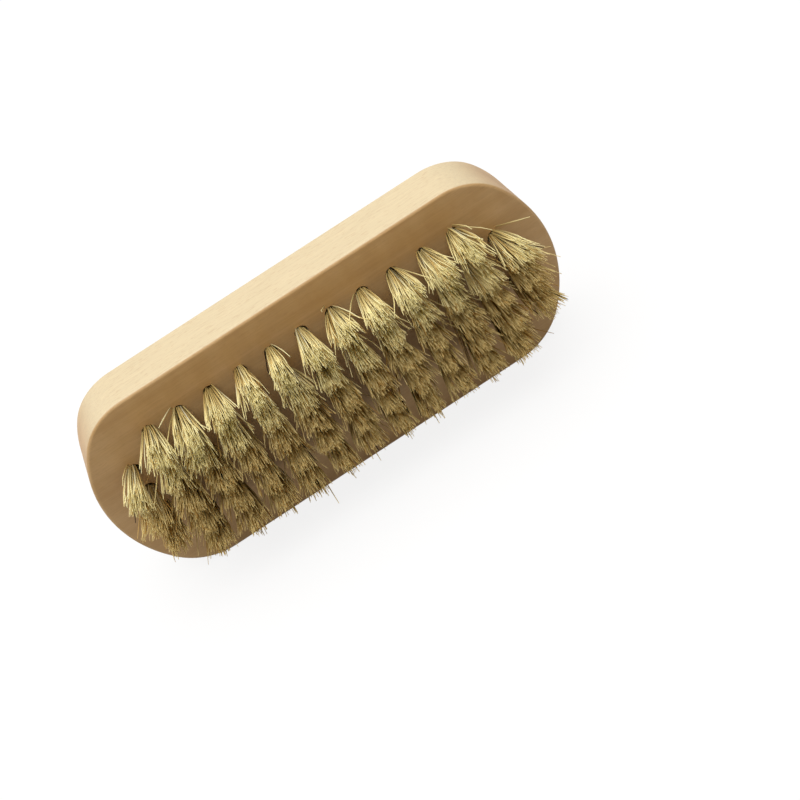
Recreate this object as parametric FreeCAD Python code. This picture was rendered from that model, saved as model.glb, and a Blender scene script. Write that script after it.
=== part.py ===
import FreeCAD, Part
import math
import os

# Double-sided wooden nail brush, in millimetres.
# +X runs along the block, +Y from the bristle tips to the notched back, and +Z up across the
# width. The block lies on its ramp-side long edge. The origin is the middle of the footprint.

# Wooden block
BLOCK_LENGTH = 95.0
BLOCK_WIDTH = 40.5
CORNER_RADIUS = 12.3            # arc that leads from a long side into the end
END_FLATTENING = 5.75           # the end arc's radius, beyond half the width
RAMP_EDGE_THICKNESS = 14.5      # at the long side that the ramp climbs to
NOTCH_THICKNESS = 10.0          # at the bottom of the notch, the thinnest place
CREST_THICKNESS = 14.2          # at the top of the notch's steep wall
LAND_EDGE_THICKNESS = 11.2      # at the other long side
RAMP_WIDTH = 17.75              # from the long side to the bottom of the notch
WALL_RUN = 3.6                  # from the bottom of the notch to the crest, across the width
NOTCH_RADIUS = 1.8
CREST_RADIUS = 4.5
EDGE_EASE = 0.6                 # rounding of the block's outer edges

# Bristle field
FIELD_ROWS = 5                  # across the width
FIELD_COLUMNS = 13              # along the length
OUTER_ROW_COLUMNS = 11          # along the length in the two outer rows
FIELD_END_MARGIN = 9.35         # from the block's end to the end column's holes
FIELD_RAMP_MARGIN = 11.6        # from the ramp-side long edge to the nearest row's holes
FIELD_LAND_MARGIN = 8.1         # from the land-side long edge to the nearest row's holes
FIELD_BRISTLE_LENGTH = 13.0     # from the face to the tips
FIELD_ROOT_DIAMETER = 2.5
FIELD_HOLE_DEPTH = 6.0

# Nail row
NAIL_TUFTS = 13
NAIL_END_MARGIN = 13.75         # from the block's end to the end hole
NAIL_ROOF = 1.1                 # wood between a nail-row hole and the unrounded crest
NAIL_BRISTLE_LENGTH = 12.5      # from the middle of the hole's mouth to the tips
NAIL_ROOT_DIAMETER = 2.2
NAIL_TIP_DIAMETER = 3.2
NAIL_HOLE_DEPTH = 6.0

# Flat-wire anchors that the bristle bundles are folded over
ANCHOR_THICKNESS = 0.4
ANCHOR_HEIGHT = 1.6
ANCHOR_BITE = 0.3               # how far an anchor's end goes into the wood

# Clearances
ROOT_CLEARANCE = 0.05           # tuft root to the hole's wall and bottom
TIP_GAP = 0.4                   # between the tips of neighbouring tufts
ANCHOR_CLEARANCE = 0.02         # anchor to wood and to bristle

# Values that follow from the sizes above
COLUMN_PITCH = (BLOCK_LENGTH - 2 * FIELD_END_MARGIN) / (FIELD_COLUMNS - 1)
ROW_PITCH = (BLOCK_WIDTH - FIELD_RAMP_MARGIN - FIELD_LAND_MARGIN) / (FIELD_ROWS - 1)
NAIL_PITCH = (BLOCK_LENGTH - 2 * NAIL_END_MARGIN) / (NAIL_TUFTS - 1)
FIELD_TIP_DIAMETER = min(COLUMN_PITCH, ROW_PITCH) - TIP_GAP

RAMP_RISE = RAMP_EDGE_THICKNESS - NOTCH_THICKNESS
WALL_RISE = CREST_THICKNESS - NOTCH_THICKNESS
RAMP_ANGLE = math.atan2(RAMP_RISE, RAMP_WIDTH)
WALL_ANGLE = math.atan2(WALL_RISE, WALL_RUN)

# The nail row's holes run parallel to the ramp and leave the roof of wood under the crest.
NAIL_HOLE_RADIUS = NAIL_ROOT_DIAMETER / 2 + ROOT_CLEARANCE
CREST_ABOVE_RAMP = WALL_RUN * math.sin(RAMP_ANGLE) + WALL_RISE * math.cos(RAMP_ANGLE)
MOUTH_SHARE = 1 - (NAIL_HOLE_RADIUS + NAIL_ROOF) / CREST_ABOVE_RAMP
MOUTH_Z = RAMP_WIDTH + MOUTH_SHARE * WALL_RUN
MOUTH_DEPTH = NOTCH_THICKNESS + MOUTH_SHARE * WALL_RISE
MOUTH_LIP = NAIL_HOLE_RADIUS / math.tan(RAMP_ANGLE + WALL_ANGLE)

# The bristle face lies where the part's whole depth is centred on the origin.
NAIL_TIP_REACH = (
    MOUTH_DEPTH
    + NAIL_BRISTLE_LENGTH * math.sin(RAMP_ANGLE)
    + NAIL_TIP_DIAMETER / 2 * math.cos(RAMP_ANGLE)
)
BACK_REACH = max(RAMP_EDGE_THICKNESS, CREST_THICKNESS, LAND_EDGE_THICKNESS, NAIL_TIP_REACH)
FACE_Y = (FIELD_BRISTLE_LENGTH - BACK_REACH) / 2

X_AXIS = FreeCAD.Vector(1, 0, 0)
FIELD_TURN = FreeCAD.Rotation(X_AXIS, 90)
NAIL_TURN = FreeCAD.Rotation(X_AXIS, 180 + math.degrees(RAMP_ANGLE))


def vector(x, y, z):
    return FreeCAD.Vector(x, y, z)


def plan_outline():
    """Face of the block seen square to its bristles: straight sides, three arcs at each end."""
    half_length = BLOCK_LENGTH / 2
    half_width = BLOCK_WIDTH / 2
    end_radius = half_width + END_FLATTENING
    end_centre = half_length - end_radius
    across = half_width - CORNER_RADIUS
    along = math.sqrt((end_radius - CORNER_RADIUS) ** 2 - across ** 2)
    side_end = end_centre + along
    meet_angle = math.atan2(across, along)
    corner_middle = (meet_angle + math.pi / 2) / 2

    def point(x, z):
        return vector(x, FACE_Y, half_width + z)

    def corner_arc(sign_x, sign_z):
        def at(angle):
            x = side_end + CORNER_RADIUS * math.cos(angle)
            z = across + CORNER_RADIUS * math.sin(angle)
            return point(sign_x * x, sign_z * z)
        return Part.Arc(at(meet_angle), at(corner_middle), at(math.pi / 2))

    def end_arc(sign_x):
        x = end_centre + end_radius * math.cos(meet_angle)
        z = end_radius * math.sin(meet_angle)
        return Part.Arc(point(sign_x * x, -z), point(sign_x * half_length, 0), point(sign_x * x, z))

    edges = []
    for sign in (-1, 1):
        side = Part.LineSegment(point(-side_end, sign * half_width), point(side_end, sign * half_width))
        edges += [side.toShape(), end_arc(sign).toShape()]
        edges += [corner_arc(sign, -1).toShape(), corner_arc(sign, 1).toShape()]
    return Part.Face(Part.Wire(Part.__sortEdges__(edges)))


def rounded_corner(before, corner, after, radius):
    """Arc of the given radius in a corner between two straight runs."""
    back = (before - corner).normalize()
    ahead = (after - corner).normalize()
    half_angle = back.getAngle(ahead) / 2
    start = corner + back * (radius / math.tan(half_angle))
    end = corner + ahead * (radius / math.tan(half_angle))
    bisector = (back + ahead).normalize()
    middle = corner + bisector * (radius / math.sin(half_angle) - radius)
    return start, middle, end


def end_profile():
    """Face of the block's cross-section: flat front, and ramp, notch wall and land behind."""
    x = -BLOCK_LENGTH / 2

    def point(z, thickness):
        return vector(x, FACE_Y + thickness, z)

    front_low = point(0, 0)
    front_high = point(BLOCK_WIDTH, 0)
    ramp_edge = point(0, RAMP_EDGE_THICKNESS)
    notch = point(RAMP_WIDTH, NOTCH_THICKNESS)
    crest = point(RAMP_WIDTH + WALL_RUN, CREST_THICKNESS)
    land_edge = point(BLOCK_WIDTH, LAND_EDGE_THICKNESS)
    notch_arc = rounded_corner(ramp_edge, notch, crest, NOTCH_RADIUS)
    crest_arc = rounded_corner(notch, crest, land_edge, CREST_RADIUS)
    edges = [
        Part.LineSegment(front_high, front_low),
        Part.LineSegment(front_low, ramp_edge),
        Part.LineSegment(ramp_edge, notch_arc[0]),
        Part.Arc(*notch_arc),
        Part.LineSegment(notch_arc[2], crest_arc[0]),
        Part.Arc(*crest_arc),
        Part.LineSegment(crest_arc[2], land_edge),
        Part.LineSegment(land_edge, front_high),
    ]
    return Part.Face(Part.Wire([edge.toShape() for edge in edges]))


def anchor_plate(hole_diameter, depth, clearance):
    """Flat wire across the bottom of a hole whose mouth is at the local origin, facing +Z."""
    length = hole_diameter + 2 * (ANCHOR_BITE + clearance)
    thickness = ANCHOR_THICKNESS + 2 * clearance
    height = ANCHOR_HEIGHT + clearance
    return Part.makeBox(length, thickness, height, vector(-length / 2, -thickness / 2, -depth))


def hole_cutter(root_diameter, depth, mouth):
    """Blind hole with the grooves that its anchor bites; mouth is how far it runs outwards."""
    diameter = root_diameter + 2 * ROOT_CLEARANCE
    bore = Part.makeCylinder(diameter / 2, depth + mouth, vector(0, 0, -depth))
    return bore.fuse(anchor_plate(diameter, depth, ANCHOR_CLEARANCE))


def anchor(root_diameter, depth):
    """One anchor, seated at the bottom of its hole."""
    return anchor_plate(root_diameter + 2 * ROOT_CLEARANCE, depth, 0)


def tuft(root_diameter, tip_diameter, depth, lip, length):
    """Bundle of bristle: a root folded over its anchor, then a cone that spreads to the tips."""
    root_radius = root_diameter / 2
    root_foot = vector(0, 0, ROOT_CLEARANCE - depth)
    root = Part.makeCylinder(root_radius, depth - ROOT_CLEARANCE + lip, root_foot)
    spread = Part.makeCone(root_radius, tip_diameter / 2, length - lip, vector(0, 0, lip))
    fold = anchor_plate(root_diameter, depth, ANCHOR_CLEARANCE)
    return root.fuse(spread).cut(fold).removeSplitter()


def placed(shape, position, turn):
    """Copy of a shape made at the local origin, put at a hole's mouth."""
    copy = shape.copy()
    copy.Placement = FreeCAD.Placement(position, turn)
    return copy


def field_mouths():
    """Mouths of the field's holes, as one list for each column."""
    columns = []
    for column in range(FIELD_COLUMNS):
        x = (column - (FIELD_COLUMNS - 1) / 2) * COLUMN_PITCH
        from_end = min(column, FIELD_COLUMNS - 1 - column)
        skipped = 1 if 2 * from_end < FIELD_COLUMNS - OUTER_ROW_COLUMNS else 0
        rows = range(skipped, FIELD_ROWS - skipped)
        columns.append([vector(x, FACE_Y, FIELD_RAMP_MARGIN + row * ROW_PITCH) for row in rows])
    return columns


def nail_mouths():
    """Middles of the nail row's hole mouths, on the notch wall."""
    first = (1 - NAIL_TUFTS) / 2
    y = FACE_Y + MOUTH_DEPTH
    return [vector((first + index) * NAIL_PITCH, y, MOUTH_Z) for index in range(NAIL_TUFTS)]


def rim_edges(block, outline):
    """Edges that run round the outline, where the front or the back meets the sides and ends."""
    edges = []
    for edge in block.Edges:
        start = edge.Vertexes[0].Point
        end = edge.Vertexes[-1].Point
        middle = edge.valueAt((edge.FirstParameter + edge.LastParameter) / 2)
        foot = Part.Vertex(middle.x, FACE_Y, middle.z)
        on_outline = outline.OuterWire.distToShape(foot)[0] < ROOT_CLEARANCE
        runs_round = math.hypot(end.x - start.x, end.z - start.z) > ROOT_CLEARANCE
        if on_outline and runs_round:
            edges.append(edge)
    return edges


def wooden_block():
    """Block with its outline, back profile, eased edges and drilled holes."""
    outline = plan_outline()
    profile = end_profile().extrude(vector(BLOCK_LENGTH, 0, 0))
    block = outline.extrude(vector(0, BACK_REACH, 0)).common(profile).removeSplitter()
    block = block.makeFillet(EDGE_EASE, rim_edges(block, outline))
    field_hole = hole_cutter(FIELD_ROOT_DIAMETER, FIELD_HOLE_DEPTH, ROOT_CLEARANCE)
    nail_hole = hole_cutter(NAIL_ROOT_DIAMETER, NAIL_HOLE_DEPTH, 2 * MOUTH_LIP)
    cutters = [placed(field_hole, mouth, FIELD_TURN) for column in field_mouths() for mouth in column]
    cutters += [placed(nail_hole, mouth, NAIL_TURN) for mouth in nail_mouths()]
    return block.cut(cutters)


def save(name, solids):
    """Write one node's solids to its own file."""
    Part.makeCompound(solids).exportStep("parts/" + name + ".step")


def main():
    os.makedirs("parts", exist_ok=True)
    save("wooden_block", wooden_block().Solids)

    field_tuft = tuft(
        FIELD_ROOT_DIAMETER, FIELD_TIP_DIAMETER, FIELD_HOLE_DEPTH, 0, FIELD_BRISTLE_LENGTH
    )
    for number, mouths in enumerate(field_mouths(), start=1):
        tufts = [placed(field_tuft, mouth, FIELD_TURN) for mouth in mouths]
        save(f"field_tufts_{number:02d}", tufts)

    nail_tuft = tuft(
        NAIL_ROOT_DIAMETER, NAIL_TIP_DIAMETER, NAIL_HOLE_DEPTH, MOUTH_LIP, NAIL_BRISTLE_LENGTH
    )
    for number, mouth in enumerate(nail_mouths(), start=1):
        save(f"nail_tuft_{number:02d}", [placed(nail_tuft, mouth, NAIL_TURN)])

    field_anchor = anchor(FIELD_ROOT_DIAMETER, FIELD_HOLE_DEPTH)
    field_places = [mouth for column in field_mouths() for mouth in column]
    save("field_anchors", [placed(field_anchor, mouth, FIELD_TURN) for mouth in field_places])
    nail_anchor = anchor(NAIL_ROOT_DIAMETER, NAIL_HOLE_DEPTH)
    save("nail_row_anchors", [placed(nail_anchor, mouth, NAIL_TURN) for mouth in nail_mouths()])


main()
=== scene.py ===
"""Looks of a double-sided wooden nail brush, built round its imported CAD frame.

The frame is in metres: +X runs along the block, the field bristles point along -Y, the notched
back faces +Y, and +Z is up across the width, because the brush lies on one long side.
"""

import logging
import math
from dataclasses import dataclass, field
from enum import Enum
from typing import Any, Optional, Union

import bpy
from mathutils import Matrix, Vector


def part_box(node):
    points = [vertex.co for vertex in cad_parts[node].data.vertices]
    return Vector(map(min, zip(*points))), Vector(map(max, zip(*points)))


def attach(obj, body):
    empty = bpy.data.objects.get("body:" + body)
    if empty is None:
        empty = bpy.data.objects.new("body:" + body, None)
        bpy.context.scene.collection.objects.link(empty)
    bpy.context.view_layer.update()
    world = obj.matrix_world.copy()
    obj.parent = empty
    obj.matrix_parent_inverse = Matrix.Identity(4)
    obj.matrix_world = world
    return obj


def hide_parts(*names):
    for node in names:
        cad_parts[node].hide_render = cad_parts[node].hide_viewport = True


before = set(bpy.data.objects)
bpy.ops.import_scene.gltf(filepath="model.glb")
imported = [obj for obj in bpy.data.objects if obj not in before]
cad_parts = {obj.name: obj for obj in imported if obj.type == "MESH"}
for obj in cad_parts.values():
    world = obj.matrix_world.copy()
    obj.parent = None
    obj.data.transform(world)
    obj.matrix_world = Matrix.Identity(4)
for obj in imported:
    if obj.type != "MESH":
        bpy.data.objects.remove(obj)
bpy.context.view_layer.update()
LOG = logging.getLogger("nail_brush")

Triple = tuple[float, float, float]
Span = tuple[float, float]
Key = Union[str, int]

WHITE: Triple = (1.0, 1.0, 1.0)
MIDDLE = 0.5


class Slot(Enum):
    """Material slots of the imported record."""

    FIELD = "field_bristle"
    NAIL = "nail_bristle"


class Blend(Enum):
    """Ways to mix two colours."""

    MIX = "MIX"
    MULTIPLY = "MULTIPLY"


class Draw(Enum):
    """Random draws of a tuft tree, each with its own step from the seed."""

    TONE = 1
    LOCK_ANGLE = 2
    LOCK_RADIUS = 3
    ANGLE = 4
    RADIUS = 5
    STRAY = 6
    THROW = 7
    SCATTER_ALONG = 8
    LOCK_SCATTER_ALONG = 9
    SCATTER_ACROSS = 10
    LOCK_SCATTER_ACROSS = 11
    SWAY_ALONG = 12
    SWAY_ACROSS = 13
    LOSS = 14
    LOCK_LOSS = 15
    SPIN = 16
    THICKNESS = 17
    BEND = 18
    EDGE_LOSS = 19


@dataclass(frozen=True)
class Pattern:
    """Noise of a finish: features per metre along each axis, octaves and the finer ones' weight."""

    stretch: Triple
    detail: float = 2.0
    rough: float = 0.5


class Wire:
    """Output socket of a node, with operators that add Math nodes to its tree."""

    def __init__(self, net: "Net", socket: Optional[bpy.types.NodeSocket]) -> None:
        """Keep the socket and the net that it belongs to."""
        self.net = net
        self.socket = socket

    def output(self, key: Key) -> "Wire":
        """Another output of the same node."""
        return Wire(self.net, self.net.pick(self.socket.node.outputs, key))

    def __add__(self, other: "Value") -> "Wire":
        """Sum."""
        return self.net.math("ADD", self, other)

    def __radd__(self, other: float) -> "Wire":
        """Sum with a number on the left."""
        return self.net.math("ADD", other, self)

    def __sub__(self, other: "Value") -> "Wire":
        """Difference."""
        return self.net.math("SUBTRACT", self, other)

    def __rsub__(self, other: float) -> "Wire":
        """Difference from a number."""
        return self.net.math("SUBTRACT", other, self)

    def __mul__(self, other: "Value") -> "Wire":
        """Product."""
        return self.net.math("MULTIPLY", self, other)

    def __rmul__(self, other: float) -> "Wire":
        """Product with a number on the left."""
        return self.net.math("MULTIPLY", other, self)

    def __truediv__(self, other: "Value") -> "Wire":
        """Quotient."""
        return self.net.math("DIVIDE", self, other)

    def __rtruediv__(self, other: float) -> "Wire":
        """Quotient of a number by the value."""
        return self.net.math("DIVIDE", other, self)

    def __pow__(self, other: "Value") -> "Wire":
        """Power."""
        return self.net.math("POWER", self, other)

    def __abs__(self) -> "Wire":
        """Size without sign."""
        return self.net.math("ABSOLUTE", self)

    def __lt__(self, other: "Value") -> "Wire":
        """One where the value is below the other, else zero."""
        return self.net.math("LESS_THAN", self, other)


Value = Union[Wire, float]


class Net:
    """Node tree in the making."""

    def __init__(self, tree: bpy.types.NodeTree) -> None:
        """Empty the tree and keep it."""
        self.tree = tree
        tree.nodes.clear()

    def node(
        self,
        kind: str,
        settings: Optional[dict[str, Any]] = None,
        sockets: Optional[dict[Key, Any]] = None,
        output: Key = 0,
    ) -> Wire:
        """Add one node.

        Args:
            kind: Blender's name of the node's type.
            settings: The node's own properties; "stops" gives a colour ramp's places and colours.
            sockets: Values or wires for the inputs, by identifier, name or number.
            output: Name or number of the output to hand back.

        Returns:
            The chosen output, or a wire on no socket where the node has no output.
        """
        made = self.tree.nodes.new(kind)
        for name, value in (settings or {}).items():
            if name == "stops":
                self._set_stops(made.color_ramp, value)
            else:
                setattr(made, name, value)
        for key, value in (sockets or {}).items():
            self._plug(self.pick(made.inputs, key), value)
        return Wire(self, self.pick(made.outputs, output) if len(made.outputs) else None)

    def math(self, operation: str, *values: Value) -> Wire:
        """Math node on one or two values."""
        return self.node("ShaderNodeMath", {"operation": operation}, dict(enumerate(values)))

    def vector(self, operation: str, *values: Any) -> Wire:
        """Vector Math node on one or two vectors."""
        return self.node("ShaderNodeVectorMath", {"operation": operation}, dict(enumerate(values)))

    def combine(self, x: Value, y: Value, z: Value) -> Wire:
        """Vector from three values."""
        return self.node("ShaderNodeCombineXYZ", None, {"X": x, "Y": y, "Z": z})

    def split(self, vector: Wire, axis: str) -> Wire:
        """Part of a vector along one axis."""
        return self.node("ShaderNodeSeparateXYZ", None, {"Vector": vector}, axis)

    def place(self) -> Wire:
        """Place on the piece, in metres."""
        return self.node("ShaderNodeTexCoord", None, None, "Object")

    def kept(self, name: str) -> Wire:
        """Number that the mesh keeps under a name."""
        return self.node("ShaderNodeAttribute", {"attribute_name": name}, None, "Fac")

    def smooth(self, value: Wire, fade: Span) -> Wire:
        """Smooth step.

        Args:
            value: The value to step.
            fade: Where the step starts and ends.

        Returns:
            Zero before the fade and one after it.
        """
        low, high = fade
        settings = {"interpolation_type": "SMOOTHSTEP"}
        sockets = {"Value": value, "From Min": low, "From Max": high}
        return self.node("ShaderNodeMapRange", settings, sockets)

    def mix(self, factor: Value, first: Any, second: Any, blend: Blend = Blend.MIX) -> Wire:
        """Mix of two colours.

        Args:
            factor: Share of the second colour.
            first: Colour or wire.
            second: Colour or wire.
            blend: The way to mix.

        Returns:
            The mixed colour.
        """
        settings = {"data_type": "RGBA", "blend_type": blend.value}
        sockets = {"Factor_Float": factor, "A_Color": first, "B_Color": second}
        return self.node("ShaderNodeMix", settings, sockets, "Result_Color")

    def noise(self, place: Wire, pattern: Pattern) -> Wire:
        """Noise on stretched coordinates.

        Args:
            place: Coordinates in metres.
            pattern: The noise's stretch and octaves.

        Returns:
            Noise from 0 to 1, about 0.5 in the middle.
        """
        spread = self.node("ShaderNodeMapping", None, {"Vector": place, "Scale": pattern.stretch})
        octaves = {"Detail": pattern.detail, "Roughness": pattern.rough}
        return self.node("ShaderNodeTexNoise", None, {"Vector": spread, "Scale": 1.0, **octaves}, "Fac")

    @staticmethod
    def pick(sockets: Any, key: Key) -> bpy.types.NodeSocket:
        """Socket of a node.

        Args:
            sockets: The node's inputs or outputs.
            key: The socket's number, identifier or name.

        Returns:
            The socket.
        """
        if isinstance(key, str):
            for socket in sockets:
                if socket.identifier == key:
                    return socket
        return sockets[key]

    @staticmethod
    def _set_stops(ramp: bpy.types.ColorRamp, stops: list[tuple[float, Triple]]) -> None:
        """Give a colour ramp its stops.

        Args:
            ramp: The ramp.
            stops: Places from 0 to 1, with their colours.
        """
        while len(ramp.elements) < len(stops):
            ramp.elements.new(1.0)
        for element, (place, colour) in zip(ramp.elements, stops):
            element.position = place
            element.color = (*colour, 1.0)

    def _plug(self, socket: bpy.types.NodeSocket, value: Any) -> None:
        """Fill one input.

        Args:
            socket: The input.
            value: A wire or a list of wires to link, or the input's own value.
        """
        if isinstance(value, Wire):
            self.tree.links.new(value.socket, socket)
        elif isinstance(value, list):
            for wire in value:
                self.tree.links.new(wire.socket, socket)
        elif isinstance(value, tuple) and socket.type == "RGBA":
            socket.default_value = (*value, 1.0)
        else:
            socket.default_value = value


def new_material(name: str) -> tuple[bpy.types.Material, Net]:
    """Material with an empty node tree.

    Args:
        name: The material's name.

    Returns:
        The material and the net that fills it.
    """
    material = bpy.data.materials.new(name)
    material.use_nodes = True
    return material, Net(material.node_tree)


def surface(net: Net, sockets: dict[str, Any]) -> None:
    """Join a Principled shader with these inputs to the material's output."""
    shader = net.node("ShaderNodeBsdfPrincipled", None, sockets)
    net.node("ShaderNodeOutputMaterial", None, {"Surface": shader})


@dataclass(frozen=True)
class BeechFinish:
    """Sanded and lightly oiled pale beech, with grain along the block and marked end grain.

    Fades of the side and the end are in metres from the middle of the block's length.
    """

    pale: Triple = (0.68, 0.45, 0.215)
    tan: Triple = (0.565, 0.345, 0.142)
    # Painted highlight: a paler colour put on the long sides of the block.
    painted_side_highlight: Triple = (0.775, 0.664, 0.442)
    fibre_dark: Triple = (0.80, 0.77, 0.72)
    fibre_light: Triple = (1.1, 1.1, 1.1)
    fleck_colour: Triple = (0.46, 0.25, 0.10)
    end_tint: Triple = (0.98, 0.905, 0.90)
    streak: Triple = (0.88, 0.66, 0.46)

    broad: Pattern = Pattern((7.0, 85.0, 85.0), 3.0)
    rings: Pattern = Pattern((9.0, 420.0, 420.0), 3.0, 0.55)
    figure: Pattern = Pattern((330.0, 120.0, 150.0))
    fibre: Pattern = Pattern((160.0, 3600.0, 3600.0))
    fleck: Pattern = Pattern((750.0, 5200.0, 5200.0), 1.0)
    chatter: Pattern = Pattern((240.0, 22.0, 330.0))

    broad_weight: float = 0.55
    rings_weight: float = 0.35
    figure_weight: float = 0.20
    tone_drop: float = 0.05
    tone_fade: Span = (0.36, 0.64)
    wall_fade: Span = (0.25, 0.70)
    side_share: float = 0.9
    side_loss: float = 0.7
    side_fade: Span = (0.037, 0.045)
    fibre_share: float = 0.7
    fleck_fade: Span = (0.58, 0.68)
    fleck_share: float = 0.24
    end_fade: Span = (0.039, 0.0465)
    chatter_fade: Span = (0.52, 0.70)
    chatter_share: float = 0.45

    roughness: float = 0.5
    fibre_roughness: float = 0.25
    end_roughness: float = 0.1
    fibre_height: float = 0.6
    rings_height: float = 0.4
    fleck_depth: float = 0.5
    bump_strength: float = 0.12
    bump_distance: float = 0.0001

    def material(self) -> bpy.types.Material:
        """Material of the block.

        Returns:
            The finished material.
        """
        material, net = new_material("beech")
        coordinates = net.node("ShaderNodeTexCoord")
        place = coordinates.output("Object")
        along = abs(net.split(place, "X"))
        wall = 1.0 - net.smooth(abs(net.split(coordinates.output("Normal"), "Y")), self.wall_fade)
        end = wall * net.smooth(along, self.end_fade)
        rings = net.noise(place, self.rings)
        fibre = net.noise(place, self.fibre)
        flecks = net.smooth(net.noise(place, self.fleck), self.fleck_fade)

        # Painted highlight: the long sides are painted paler than the face and the back, and only a
        # little at the rounded ends.
        side = wall * (self.side_share - net.smooth(along, self.side_fade) * self.side_loss)
        body = net.mix(side, self._grain(net, place, rings), self.painted_side_highlight)
        fibres = net.mix(fibre, self.fibre_dark, self.fibre_light)
        body = net.mix(self.fibre_share, body, fibres, Blend.MULTIPLY)
        body = net.mix(flecks * self.fleck_share, body, self.fleck_colour)
        colour = net.mix(end, body, self._end_grain(net, place, body))

        rough = self.roughness + (fibre - MIDDLE) * self.fibre_roughness + end * self.end_roughness
        height = fibre * self.fibre_height + rings * self.rings_height - flecks * self.fleck_depth
        relief = {"Strength": self.bump_strength, "Distance": self.bump_distance, "Height": height}
        bump = net.node("ShaderNodeBump", None, relief)
        surface(net, {"Base Color": colour, "Roughness": rough, "Normal": bump})
        return material

    def _grain(self, net: Net, place: Wire, rings: Wire) -> Wire:
        """Slow change of colour over the block.

        Args:
            net: The material's net.
            place: Coordinates in metres.
            rings: The noise of the growth rings.

        Returns:
            A colour between the pale and the tan one.
        """
        broad = net.noise(place, self.broad) * self.broad_weight
        figure = net.noise(place, self.figure) * self.figure_weight
        tone = broad + rings * self.rings_weight + figure - self.tone_drop
        return net.mix(net.smooth(tone, self.tone_fade), self.pale, self.tan)

    def _end_grain(self, net: Net, place: Wire, body: Wire) -> Wire:
        """Colour of the ends, with the marks that the cutter leaves.

        Args:
            net: The material's net.
            place: Coordinates in metres.
            body: The wood's colour.

        Returns:
            The ends' colour.
        """
        marks = net.smooth(net.noise(place, self.chatter), self.chatter_fade)
        cut = net.mix(1.0, body, self.end_tint, Blend.MULTIPLY)
        return net.mix(marks * self.chatter_share, cut, self.streak)


@dataclass(frozen=True)
class BristleFinish:
    """Natural bristle, with strands of several tones.

    Root and tip fades run from 0 at a strand's root to 1 at its tip. The low shade fade is a height
    above the floor in metres, below which the lower rows are painted darker and warmer, a painted shade.
    """

    name: str
    tones: tuple[tuple[float, Triple], ...]
    tip: Triple
    # Painted shade: the lower rows are painted darker and warmer below the fade's height.
    low_shade_tint: Triple = (0.88, 0.775, 0.64)
    low_shade_fade: Span = (0.021, 0.031)
    root_shade: float = 0.46
    root_warmth: Triple = (1.0, 0.92, 0.78)
    root_fade: Span = (0.10, 1.0)
    tip_fade: Span = (0.45, 0.95)
    tip_tones: Span = (0.06, 0.12)
    tip_share: float = 0.75
    wear: Pattern = Pattern((900.0, 900.0, 900.0))
    roughness: float = 0.36
    wear_roughness: float = 0.3
    gloss: float = 0.02

    def material(self) -> bpy.types.Material:
        """Material that reads each strand's tone and the place along it.

        Returns:
            The finished material.
        """
        material, net = new_material(self.name)
        place = net.place()
        tone = net.kept("tone")
        along = net.kept("along")
        colour = net.node("ShaderNodeValToRGB", {"stops": list(self.tones)}, {"Fac": tone}, "Color")
        # Painted shade: each strand is painted darker and warmer towards its root at the hole.
        shade = tuple(self.root_shade * share for share in self.root_warmth)
        root = net.mix(net.smooth(along, self.root_fade), shade, WHITE)
        colour = net.mix(1.0, colour, root, Blend.MULTIPLY)
        # Paler tips: partly the bristle's own colour and partly a painted highlight; dark strands keep
        # their tips.
        tips = net.smooth(along, self.tip_fade) * net.smooth(tone, self.tip_tones)
        colour = net.mix(tips * self.tip_share, colour, self.tip)
        # Painted shade on the lower rows: darker and warmer below the fade's height.
        low = net.mix(net.smooth(net.split(place, "Z"), self.low_shade_fade), self.low_shade_tint, WHITE)
        colour = net.mix(1.0, colour, low, Blend.MULTIPLY)
        rough = self.roughness + (net.noise(place, self.wear) - MIDDLE) * self.wear_roughness
        surface(net, {"Base Color": colour, "Roughness": rough, "Specular IOR Level": self.gloss})
        return material


@dataclass(frozen=True)
class WireFinish:
    """Drawn flat steel wire."""

    bright: Triple = (0.62, 0.61, 0.58)
    dull: Triple = (0.42, 0.41, 0.39)
    drawing: Pattern = Pattern((400.0, 9000.0, 9000.0))
    roughness: float = 0.28
    mark_roughness: float = 0.2

    def material(self) -> bpy.types.Material:
        """Material with fine drawing marks.

        Returns:
            The finished material.
        """
        material, net = new_material("anchor_wire")
        marks = net.noise(net.place(), self.drawing)
        colour = net.mix(marks, self.dull, self.bright)
        rough = self.roughness + marks * self.mark_roughness
        surface(net, {"Base Color": colour, "Metallic": 1.0, "Roughness": rough})
        return material


FIELD_FINISH = BristleFinish(
    "field_bristle",
    (
        (0.0, (0.014, 0.011, 0.009)),
        (0.008, (0.018, 0.014, 0.011)),
        (0.011, (0.45, 0.27, 0.08)),
        (0.08, (0.86, 0.64, 0.25)),
        (0.40, (0.95, 0.78, 0.34)),
        (0.85, (0.98, 0.87, 0.46)),
        (1.0, (0.99, 0.95, 0.70)),
    ),
    (0.99, 0.92, 0.52),
)

NAIL_FINISH = BristleFinish(
    "nail_bristle",
    (
        (0.0, (0.74, 0.60, 0.36)),
        (0.10, (0.92, 0.82, 0.52)),
        (0.50, (0.98, 0.91, 0.64)),
        (1.0, (0.99, 0.95, 0.76)),
    ),
    (0.98, 0.93, 0.70),
    # No painted shade on the lower part of the nail row.
    low_shade_tint=WHITE,
    root_shade=0.70,
)


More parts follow.
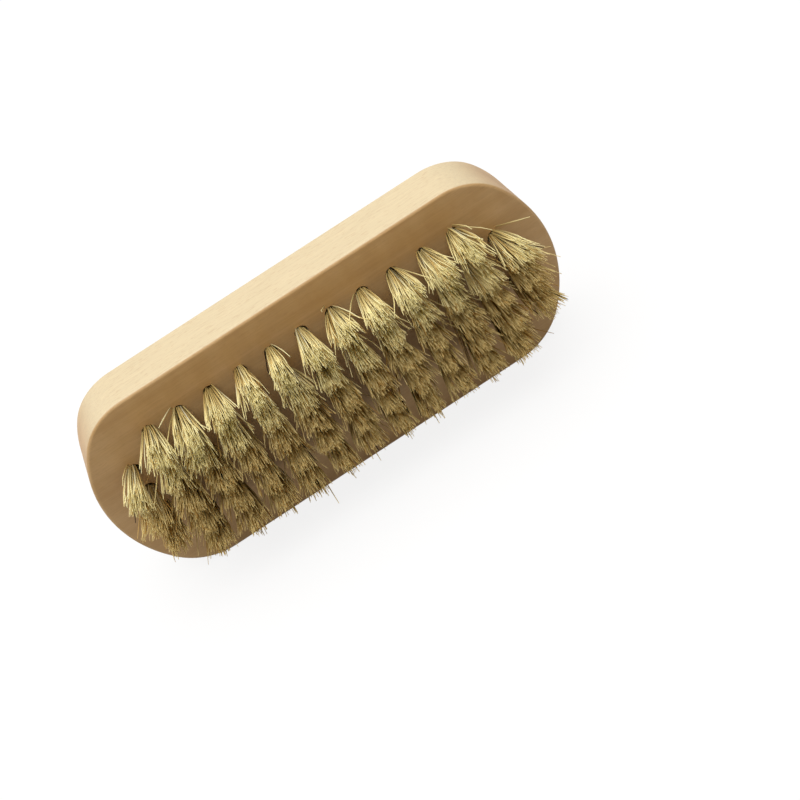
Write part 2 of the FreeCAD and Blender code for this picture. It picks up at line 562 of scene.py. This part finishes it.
@dataclass
class TuftTree:
    """Geometry Nodes tree that grows tufts of strands from points at the hole mouths.

    A strand belongs to a lock, and a lock to a tuft. Discs, losses and thicknesses are shares of
    the inputs that they go with, and a strand is made one metre long and then scaled.
    """

    seed_stride: float = 31.0
    lock_stride: float = 64.0
    lock_disc: float = 0.9
    own_disc: float = 0.30
    own_tip_share: float = 0.35
    own_edge_weight: float = 0.5
    own_loss: float = 0.2
    lock_loss: float = 0.2
    edge_loss: float = 0.05
    edge_lock_loss: float = 0.4
    thinnest: float = 0.75
    thickness_range: float = 0.5
    bows: tuple[float, ...] = (0.0001, 0.0004, 0.0010)
    bow_height: float = 0.62
    bow_bias: float = 1.6
    strand_steps: int = 3
    strand_sides: int = 5
    taper: float = 0.55
    taper_power: float = 4.0
    tree: Optional[bpy.types.NodeTree] = None
    net: Optional[Net] = None
    group: Optional[Wire] = None
    sockets: dict[str, str] = field(default_factory=dict)

    INPUTS = (
        ("Mouths", "NodeSocketGeometry"),
        ("Strands", "NodeSocketInt"),
        ("Locks", "NodeSocketInt"),
        ("Hole radius", "NodeSocketFloat"),
        ("Root depth", "NodeSocketFloat"),
        ("Reach", "NodeSocketFloat"),
        ("Spread", "NodeSocketVector"),
        ("Scatter", "NodeSocketFloat"),
        ("Sway", "NodeSocketFloat"),
        ("Shortfall", "NodeSocketFloat"),
        ("Stray share", "NodeSocketFloat"),
        ("Stray throw", "NodeSocketFloat"),
        ("Strand radius", "NodeSocketFloat"),
        ("Tilt", "NodeSocketFloat"),
        ("Seed", "NodeSocketInt"),
        ("Finish", "NodeSocketMaterial"),
    )

    def build(self) -> None:
        """Make the tree, its named inputs and its nodes."""
        self.tree = bpy.data.node_groups.new("tufts", "GeometryNodeTree")
        self.net = Net(self.tree)
        for name, kind in self.INPUTS:
            made = self.tree.interface.new_socket(name, in_out="INPUT", socket_type=kind)
            self.sockets[name] = made.identifier
        self.tree.interface.new_socket("Tufts", in_out="OUTPUT", socket_type="NodeSocketGeometry")
        self.group = self.net.node("NodeGroupInput")

        points, tuft, lock = self._points()
        root, tip = self._ends(tuft, lock)
        strands = self._strands(points, root, tip)
        strands = self.net.node("GeometryNodeRealizeInstances", None, {"Geometry": strands})
        dressed = {"Geometry": strands, "Material": self._given("Finish")}
        strands = self.net.node("GeometryNodeSetMaterial", None, dressed)
        self.net.node("NodeGroupOutput", None, {"Tufts": strands})

    def _given(self, name: str) -> Wire:
        """One of the tree's inputs."""
        return self.group.output(name)

    def _draw(self, draw: Draw, each: Optional[Wire] = None) -> Wire:
        """Random value.

        Args:
            draw: Which of the tree's draws it is.
            each: Number of the lock or tuft that shares the value, or None for each strand's own.

        Returns:
            A value from 0 to 1.
        """
        sockets = {"Seed": self._given("Seed") * self.seed_stride + float(draw.value)}
        if each is not None:
            sockets["ID"] = each
        return self.net.node("FunctionNodeRandomValue", {"data_type": "FLOAT"}, sockets, 1)

    def _store(self, geometry: Wire, kind: str, name: str, value: Wire) -> Wire:
        """Keep a value on every point.

        Args:
            geometry: The points.
            kind: Blender's name of the value's type.
            name: Name to keep it under.
            value: The value.

        Returns:
            The points with the value.
        """
        settings = {"data_type": kind, "domain": "POINT"}
        sockets = {"Geometry": geometry, "Name": name, "Value": value}
        return self.net.node("GeometryNodeStoreNamedAttribute", settings, sockets)

    def _stored(self, kind: str, name: str) -> Wire:
        """Value that the points keep under a name."""
        return self.net.node("GeometryNodeInputNamedAttribute", {"data_type": kind}, {"Name": name})

    def _points(self) -> tuple[Wire, Wire, Wire]:
        """A point at the tuft's mouth for every strand.

        Returns:
            The points, the number of each one's tuft and the number of its lock.
        """
        net = self.net
        points = net.node("GeometryNodeMeshToPoints", None, {"Mesh": self._given("Mouths")})
        points = self._store(points, "INT", "tuft", net.node("GeometryNodeInputIndex"))
        copies = {"Geometry": points, "Amount": self._given("Strands")}
        points = net.node("GeometryNodeDuplicateElements", {"domain": "POINT"}, copies)
        tuft = self._stored("INT", "tuft")
        share = points.output("Duplicate Index") * self._given("Locks") / self._given("Strands")
        lock = net.math("FLOOR", share) + tuft * self.lock_stride
        points = self._store(points, "FLOAT", "tone", self._draw(Draw.TONE))
        return points, tuft, lock

    def _ends(self, tuft: Wire, lock: Wire) -> tuple[Wire, Wire]:
        """Root and tip of every strand, from its tuft's mouth.

        Args:
            tuft: Number of the strand's tuft.
            lock: Number of the strand's lock.

        Returns:
            The root and the tip, turned to the hole's direction.
        """
        net = self.net
        lock_radius = self._draw(Draw.LOCK_RADIUS, lock) * self.lock_disc
        lock_x, lock_y = self._on_disc(self._draw(Draw.LOCK_ANGLE, lock), lock_radius)
        radius = self._draw(Draw.RADIUS) ** 0.5 * self.own_disc
        own_x, own_y = self._on_disc(self._draw(Draw.ANGLE), radius)
        hole = self._given("Hole radius")
        depth = self._given("Root depth") * -1.0
        root = net.combine((lock_x + own_x) * hole, (lock_y + own_y) * hole, depth)

        stray = self._draw(Draw.STRAY) < self._given("Stray share")
        throw = 1.0 + stray * self._given("Stray throw") * self._draw(Draw.THROW)
        spread = self._given("Spread")
        fan_x = (lock_x + own_x * self.own_tip_share) * net.split(spread, "X")
        fan_y = (lock_y + own_y * self.own_tip_share) * net.split(spread, "Y")
        scatter_x = self._scatter(Draw.SCATTER_ALONG, Draw.LOCK_SCATTER_ALONG, lock)
        scatter_y = self._scatter(Draw.SCATTER_ACROSS, Draw.LOCK_SCATTER_ACROSS, lock)
        tip_x = (fan_x + scatter_x) * throw + self._sway(Draw.SWAY_ALONG, tuft)
        tip_y = (fan_y + scatter_y) * throw + self._sway(Draw.SWAY_ACROSS, tuft)
        reach = self._given("Reach") * self._cut(lock, lock_radius + radius * self.own_edge_weight)
        tip = net.vector("ADD", net.combine(tip_x, tip_y, reach), self._stored("FLOAT_VECTOR", "lean"))
        return self._tilted(root), self._tilted(tip)

    def _on_disc(self, turn: Wire, radius: Wire) -> tuple[Wire, Wire]:
        """Place on a disc, from a share of a full turn and a radius."""
        angle = turn * math.tau
        return self.net.math("COSINE", angle) * radius, self.net.math("SINE", angle) * radius

    def _scatter(self, own: Draw, shared: Draw, lock: Wire) -> Wire:
        """How far a tip strays along one axis, by its own draw and its lock's."""
        return (self._draw(own) + self._draw(shared, lock) - 1.0) * self._given("Scatter")

    def _sway(self, draw: Draw, tuft: Wire) -> Wire:
        """How far a whole tuft leans along one axis."""
        return (self._draw(draw, tuft) - MIDDLE) * self._given("Sway")

    def _cut(self, lock: Wire, from_axis: Wire) -> Wire:
        """Share of the reach that is left to every strand.

        Args:
            lock: Number of the strand's lock.
            from_axis: How far out in the tuft the strand stands, from 0 to about 1.

        Returns:
            One for the longest strands, and less for worn ones and those at the tuft's edge.
        """
        outer = self.net.math("MINIMUM", from_axis, 1.0) ** 2.0
        own = self._draw(Draw.LOSS) ** 2.0 * self.own_loss
        shared = self._draw(Draw.LOCK_LOSS, lock) ** 2.0 * self.lock_loss
        edge = outer * (self.edge_loss + self._draw(Draw.EDGE_LOSS, lock) * self.edge_lock_loss)
        return 1.0 - self._given("Shortfall") * (own + shared + edge)

    def _tilted(self, vector: Wire) -> Wire:
        """Vector turned about X by the tree's tilt."""
        sockets = {"Vector": vector, "Angle": self._given("Tilt")}
        return self.net.node("ShaderNodeVectorRotate", {"rotation_type": "X_AXIS"}, sockets)

    def _strands(self, points: Wire, root: Wire, tip: Wire) -> Wire:
        """Strands from root to tip, each spun about itself and bent a little or more.

        Args:
            points: The mouths, one for every strand.
            root: Where each strand starts.
            tip: Where each strand ends.

        Returns:
            The strands as instances.
        """
        net = self.net
        run = net.vector("SUBTRACT", tip, root)
        length = net.node("ShaderNodeVectorMath", {"operation": "LENGTH"}, {0: run}, "Value")
        facing = net.node("FunctionNodeAlignRotationToVector", {"axis": "Z"}, {"Vector": run})
        turn = {"Axis": (0.0, 0.0, 1.0), "Angle": self._draw(Draw.SPIN) * math.tau}
        spin = net.node("FunctionNodeAxisAngleToRotation", None, turn)
        turned = {"Rotation": facing, "Rotate By": spin}
        thickness = self.thinnest + self._draw(Draw.THICKNESS) * self.thickness_range
        bent = [self._strand(bow) for bow in self.bows]
        last_bow = len(self.bows) - 0.001
        return net.node(
            "GeometryNodeInstanceOnPoints",
            None,
            {
                "Points": net.node("GeometryNodeSetPosition", None, {"Geometry": points, "Offset": root}),
                "Instance": net.node("GeometryNodeJoinGeometry", None, {"Geometry": bent}),
                "Pick Instance": True,
                "Instance Index": net.math("FLOOR", self._draw(Draw.BEND) ** self.bow_bias * last_bow),
                "Rotation": net.node("FunctionNodeRotateRotation", {"rotation_space": "LOCAL"}, turned),
                "Scale": net.combine(thickness, thickness, length),
            },
        )

    def _strand(self, bow: float) -> Wire:
        """One tapered strand of unit length along +Z.

        Args:
            bow: How far the strand's control point stands off its chord.

        Returns:
            The strand as an instance.
        """
        net = self.net
        line = net.node(
            "GeometryNodeCurveQuadraticBezier",
            None,
            {
                "Resolution": self.strand_steps,
                "Start": (0.0, 0.0, 0.0),
                "Middle": (bow, 0.0, self.bow_height),
                "End": (0.0, 0.0, 1.0),
            },
        )
        along = net.node("GeometryNodeSplineParameter", None, None, "Factor")
        circle = {"Resolution": self.strand_sides, "Radius": self._given("Strand radius")}
        tube = {
            "Curve": self._store(line, "FLOAT", "along", along),
            "Profile Curve": net.node("GeometryNodeCurvePrimitiveCircle", {"mode": "RADIUS"}, circle),
            "Scale": 1.0 - along ** self.taper_power * self.taper,
            "Fill Caps": True,
        }
        strand = net.node("GeometryNodeCurveToMesh", None, tube)
        return net.node("GeometryNodeGeometryToInstance", None, {"Geometry": strand})

    def grow(
        self, name: str, mouths: list[Vector], leans: list[Vector], inputs: dict[str, Any]
    ) -> bpy.types.Object:
        """Grow one piece and turn it into a plain mesh.

        Args:
            name: The piece's name.
            mouths: Middles of the hole mouths.
            leans: How far each tuft's tips lean, in the tuft's own frame.
            inputs: The tree's other inputs by name.

        Returns:
            The piece, with no modifier left.
        """
        points = bpy.data.meshes.new(name + "_mouths")
        points.from_pydata([tuple(mouth) for mouth in mouths], [], [])
        lean = points.attributes.new("lean", "FLOAT_VECTOR", "POINT")
        lean.data.foreach_set("vector", [value for vector in leans for value in vector])
        piece = bpy.data.objects.new(name, points)
        bpy.context.scene.collection.objects.link(piece)
        modifier = piece.modifiers.new("tufts", "NODES")
        modifier.node_group = self.tree
        for key, value in inputs.items():
            modifier[self.sockets[key]] = value
        graph = bpy.context.evaluated_depsgraph_get()
        mesh = bpy.data.meshes.new_from_object(
            piece.evaluated_get(graph), preserve_all_data_layers=True, depsgraph=graph
        )
        mesh.name = name
        piece.modifiers.clear()
        piece.data = mesh
        bpy.data.meshes.remove(points)
        return piece


def dress_node(node: str, material: bpy.types.Material) -> None:
    """Put one material on all of a CAD node's slots.

    Args:
        node: The node's name.
        material: The finish.
    """
    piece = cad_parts[node]
    if not piece.material_slots:
        piece.data.materials.append(material)
    for slot in piece.material_slots:
        slot.material = material
    LOG.info("%s dressed in %s", node, material.name)


def join_frame(piece: bpy.types.Object, node: str) -> None:
    """Let a piece stand for a CAD node.

    Args:
        piece: The finished piece.
        node: The CAD node that it replaces.
    """
    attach(piece, "root")
    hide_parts(node)
    LOG.info("%s stands for %s with %d faces", piece.name, node, len(piece.data.polygons))


@dataclass
class WoodenBlock:
    """The beech block with its notched back."""

    node: str = "wooden_block"
    finish: BeechFinish = field(default_factory=BeechFinish)

    def dress(self) -> None:
        """Give the CAD node its finish."""
        dress_node(self.node, self.finish.material())


@dataclass
class Anchors:
    """Flat-wire anchors at the bottoms of the holes."""

    nodes: tuple[str, ...] = ("field_anchors", "nail_row_anchors")
    finish: WireFinish = field(default_factory=WireFinish)

    def dress(self) -> None:
        """Give the CAD nodes their finish."""
        material = self.finish.material()
        for node in self.nodes:
            dress_node(node, material)


@dataclass
class Tufts:
    """Tufts of one kind: lengths in metres, the shares that vary the strands, and the seed."""

    trees: TuftTree
    strands: int
    locks: int
    hole_radius: float
    root_depth: float
    spread_along: float
    spread_across: float
    scatter: float
    sway: float
    shortfall: float
    stray_share: float
    stray_throw: float
    strand_radius: float
    seed: int

    def inputs(
        self, number: int, reach: float, splay: float, tilt: float, finish: bpy.types.Material
    ) -> dict[str, Any]:
        """Inputs of the tree for one piece.

        Args:
            number: The piece's number.
            reach: How far the tips stand off the mouths.
            splay: Factor on the spread of the tips.
            tilt: Turn of the tufts about X, from pointing along +Z.
            finish: The bristles' material.

        Returns:
            The inputs by name.
        """
        return {
            "Strands": self.strands,
            "Locks": self.locks,
            "Hole radius": self.hole_radius,
            "Root depth": self.root_depth,
            "Reach": reach,
            "Spread": (self.spread_along * splay, self.spread_across * splay, 0.0),
            "Scatter": self.scatter,
            "Sway": self.sway,
            "Shortfall": self.shortfall,
            "Stray share": self.stray_share,
            "Stray throw": self.stray_throw,
            "Strand radius": self.strand_radius,
            "Tilt": tilt,
            "Seed": self.seed + number,
            "Finish": finish,
        }


@dataclass
class BristleField(Tufts):
    """Thirteen columns of straw-coloured tufts on the flat face."""

    strands: int = 150
    locks: int = 36
    hole_radius: float = 0.00075
    root_depth: float = 0.0022
    spread_along: float = 0.0034
    spread_across: float = 0.0034
    scatter: float = 0.0011
    sway: float = 0.0010
    shortfall: float = 0.40
    stray_share: float = 0.05
    stray_throw: float = 1.2
    strand_radius: float = 0.000115
    tilt: float = math.radians(90.0)
    seed: int = 40
    columns: int = 13
    row_pitch: float = 0.0052
    outer_lean: float = 0.0008
    end_lean: float = 0.0016
    end_splay: float = 0.30
    end_power: int = 3

    def build(self) -> None:
        """Grow every column and let it stand for its CAD node."""
        finish = FIELD_FINISH.material()
        block_low, block_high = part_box("wooden_block")
        face = block_low.y
        for number in range(1, self.columns + 1):
            node = f"field_tufts_{number:02d}"
            low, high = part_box(node)
            tip_radius = (high.x - low.x) / 2
            first = low.z + tip_radius
            rows = round((high.z - low.z - 2 * tip_radius) / self.row_pitch) + 1
            middle = (low.x + high.x) / 2
            mouths = [Vector((middle, face, first + row * self.row_pitch)) for row in range(rows)]
            leans = [self._lean(mouth, block_low, block_high) for mouth in mouths]
            splay = 1.0 + self.end_splay * max(middle / block_high.x, 0.0) ** self.end_power
            inputs = self.inputs(number, face - low.y, splay, self.tilt, finish)
            piece = self.trees.grow(f"field_bristles_{number:02d}", mouths, leans, inputs)
            join_frame(piece, node)

    def _lean(self, mouth: Vector, low: Vector, high: Vector) -> Vector:
        """How far a tuft's tips lean away from the block's middle.

        Args:
            mouth: The tuft's mouth.
            low: Lowest corner of the block.
            high: Highest corner of the block.

        Returns:
            The lean in the tuft's frame, whose X is along the block and Y up across it.
        """
        middle = (low + high) / 2
        half = (high - low) / 2
        along = (mouth.x - middle.x) / half.x
        across = (mouth.z - middle.z) / half.z
        return Vector((self.end_lean * along ** self.end_power, self.outer_lean * across, 0.0))


@dataclass
class NailRow(Tufts):
    """Row of pale tufts that lies along the notch's ramp, lifted a little off it."""

    strands: int = 240
    locks: int = 30
    hole_radius: float = 0.0008
    root_depth: float = 0.0014
    spread_along: float = 0.0041
    spread_across: float = 0.0015
    scatter: float = 0.0007
    sway: float = 0.0008
    shortfall: float = 0.22
    stray_share: float = 0.03
    stray_throw: float = 0.9
    strand_radius: float = 0.0001
    ramp_angle: float = math.atan2(4.5, 17.75)
    lift: float = math.radians(5.0)
    seed: int = 70
    tufts: int = 13
    reach: float = 0.0125

    def build(self) -> None:
        """Grow every tuft and let it stand for its CAD node."""
        finish = NAIL_FINISH.material()
        tilt = math.pi + self.ramp_angle + self.lift
        fall = Vector((0.0, math.sin(self.ramp_angle), -math.cos(self.ramp_angle)))
        square = Vector((0.0, math.cos(self.ramp_angle), math.sin(self.ramp_angle)))
        for number in range(1, self.tufts + 1):
            node = f"nail_tuft_{number:02d}"
            low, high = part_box(node)
            tip_radius = (high.x - low.x) / 2
            tip_y = high.y - square.y * tip_radius
            tip_z = low.z + square.z * tip_radius
            mouth = Vector(((low.x + high.x) / 2, tip_y, tip_z)) - fall * self.reach
            inputs = self.inputs(number, self.reach, 1.0, tilt, finish)
            piece = self.trees.grow(f"nail_bristles_{number:02d}", [mouth], [Vector()], inputs)
            join_frame(piece, node)


@dataclass
class Studio:
    """White floor, soft overhead light and the photograph's camera."""

    floor_half: float = 2.0
    floor_bounce: float = 0.34
    floor_glow: float = 0.85
    lamp_strength: float = 3.05
    lamp_angle: float = math.radians(80.0)
    lamp_from: Triple = (-0.107, -0.03, 0.979)
    ambient: float = 0.22
    ambient_tint: Triple = (1.0, 0.86, 0.69)
    camera_place: Triple = (0.0021, -0.18615, 0.1494)
    camera_right: Triple = (0.837, -0.351, -0.419)
    camera_forward: Triple = (0.027, 0.793, -0.609)
    lens: float = 55.7
    sensor: float = 36.0
    nearest: float = 0.005

    def build(self) -> None:
        """Make the floor, the light and the camera."""
        self._floor()
        self._world()
        self._lamp()
        self._camera()
        bpy.context.scene.view_settings.view_transform = "Standard"

    @staticmethod
    def _seen(net: Net) -> Wire:
        """Mask of the rays that show the background.

        Args:
            net: Net of the floor or the world.

        Returns:
            One for those rays, else zero.
        """
        path = net.node("ShaderNodeLightPath")
        mirrored = path.output("Is Glossy Ray") + path.output("Is Transmission Ray")
        return net.math("MINIMUM", path.output("Is Camera Ray") + mirrored, 1.0)

    def _floor(self) -> None:
        """Flat floor that looks white and bounces little light."""
        mesh = bpy.data.meshes.new("floor")
        half = self.floor_half
        corners = [(-half, -half, 0.0), (half, -half, 0.0), (half, half, 0.0), (-half, half, 0.0)]
        mesh.from_pydata(corners, [], [(0, 1, 2, 3)])
        floor = bpy.data.objects.new("floor", mesh)
        bpy.context.scene.collection.objects.link(floor)
        material, net = new_material("floor")
        bounce = self.floor_bounce
        seen = self._seen(net)
        colour = net.mix(seen, (bounce, bounce, bounce), WHITE)
        matt = net.node("ShaderNodeBsdfDiffuse", None, {"Color": colour})
        white = net.node("ShaderNodeEmission", None, {"Color": WHITE, "Strength": 1.0})
        sockets = {0: seen * self.floor_glow, 1: matt, 2: white}
        shown = net.node("ShaderNodeMixShader", None, sockets)
        net.node("ShaderNodeOutputMaterial", None, {"Surface": shown})
        mesh.materials.append(material)

    def _world(self) -> None:
        """Even light from all round that looks white."""
        world = bpy.data.worlds.new("studio")
        bpy.context.scene.world = world
        world.use_nodes = True
        net = Net(world.node_tree)
        seen = self._seen(net)
        strength = self.ambient + seen * (1.0 - self.ambient)
        colour = net.mix(seen, self.ambient_tint, WHITE)
        sky = net.node("ShaderNodeBackground", None, {"Color": colour, "Strength": strength})
        net.node("ShaderNodeOutputWorld", None, {"Surface": sky})

    def _lamp(self) -> None:
        """Wide soft light from above."""
        lamp = bpy.data.lights.new("overhead", "SUN")
        lamp.energy = self.lamp_strength
        lamp.angle = self.lamp_angle
        holder = bpy.data.objects.new("overhead", lamp)
        holder.rotation_euler = Vector(self.lamp_from).to_track_quat("Z", "Y").to_euler()
        bpy.context.scene.collection.objects.link(holder)

    def _camera(self) -> None:
        """Camera at the photograph's place and turn."""
        lens = bpy.data.cameras.new("camera")
        lens.lens = self.lens
        lens.sensor_width = self.sensor
        lens.clip_start = self.nearest
        camera = bpy.data.objects.new("camera", lens)
        forward = Vector(self.camera_forward).normalized()
        right = Vector(self.camera_right)
        right = (right - forward * right.dot(forward)).normalized()
        up = right.cross(forward)
        turn = Matrix((right, up, -forward)).transposed()
        camera.matrix_world = Matrix.Translation(self.camera_place) @ turn.to_4x4()
        bpy.context.scene.collection.objects.link(camera)
        bpy.context.scene.camera = camera


def main() -> None:
    """Build and dress the brush and its studio."""
    logging.basicConfig(level=logging.INFO, format="%(message)s")
    Studio().build()
    WoodenBlock().dress()
    Anchors().dress()
    trees = TuftTree()
    trees.build()
    BristleField(trees).build()
    NailRow(trees).build()


if __name__ == "__main__":
    main()
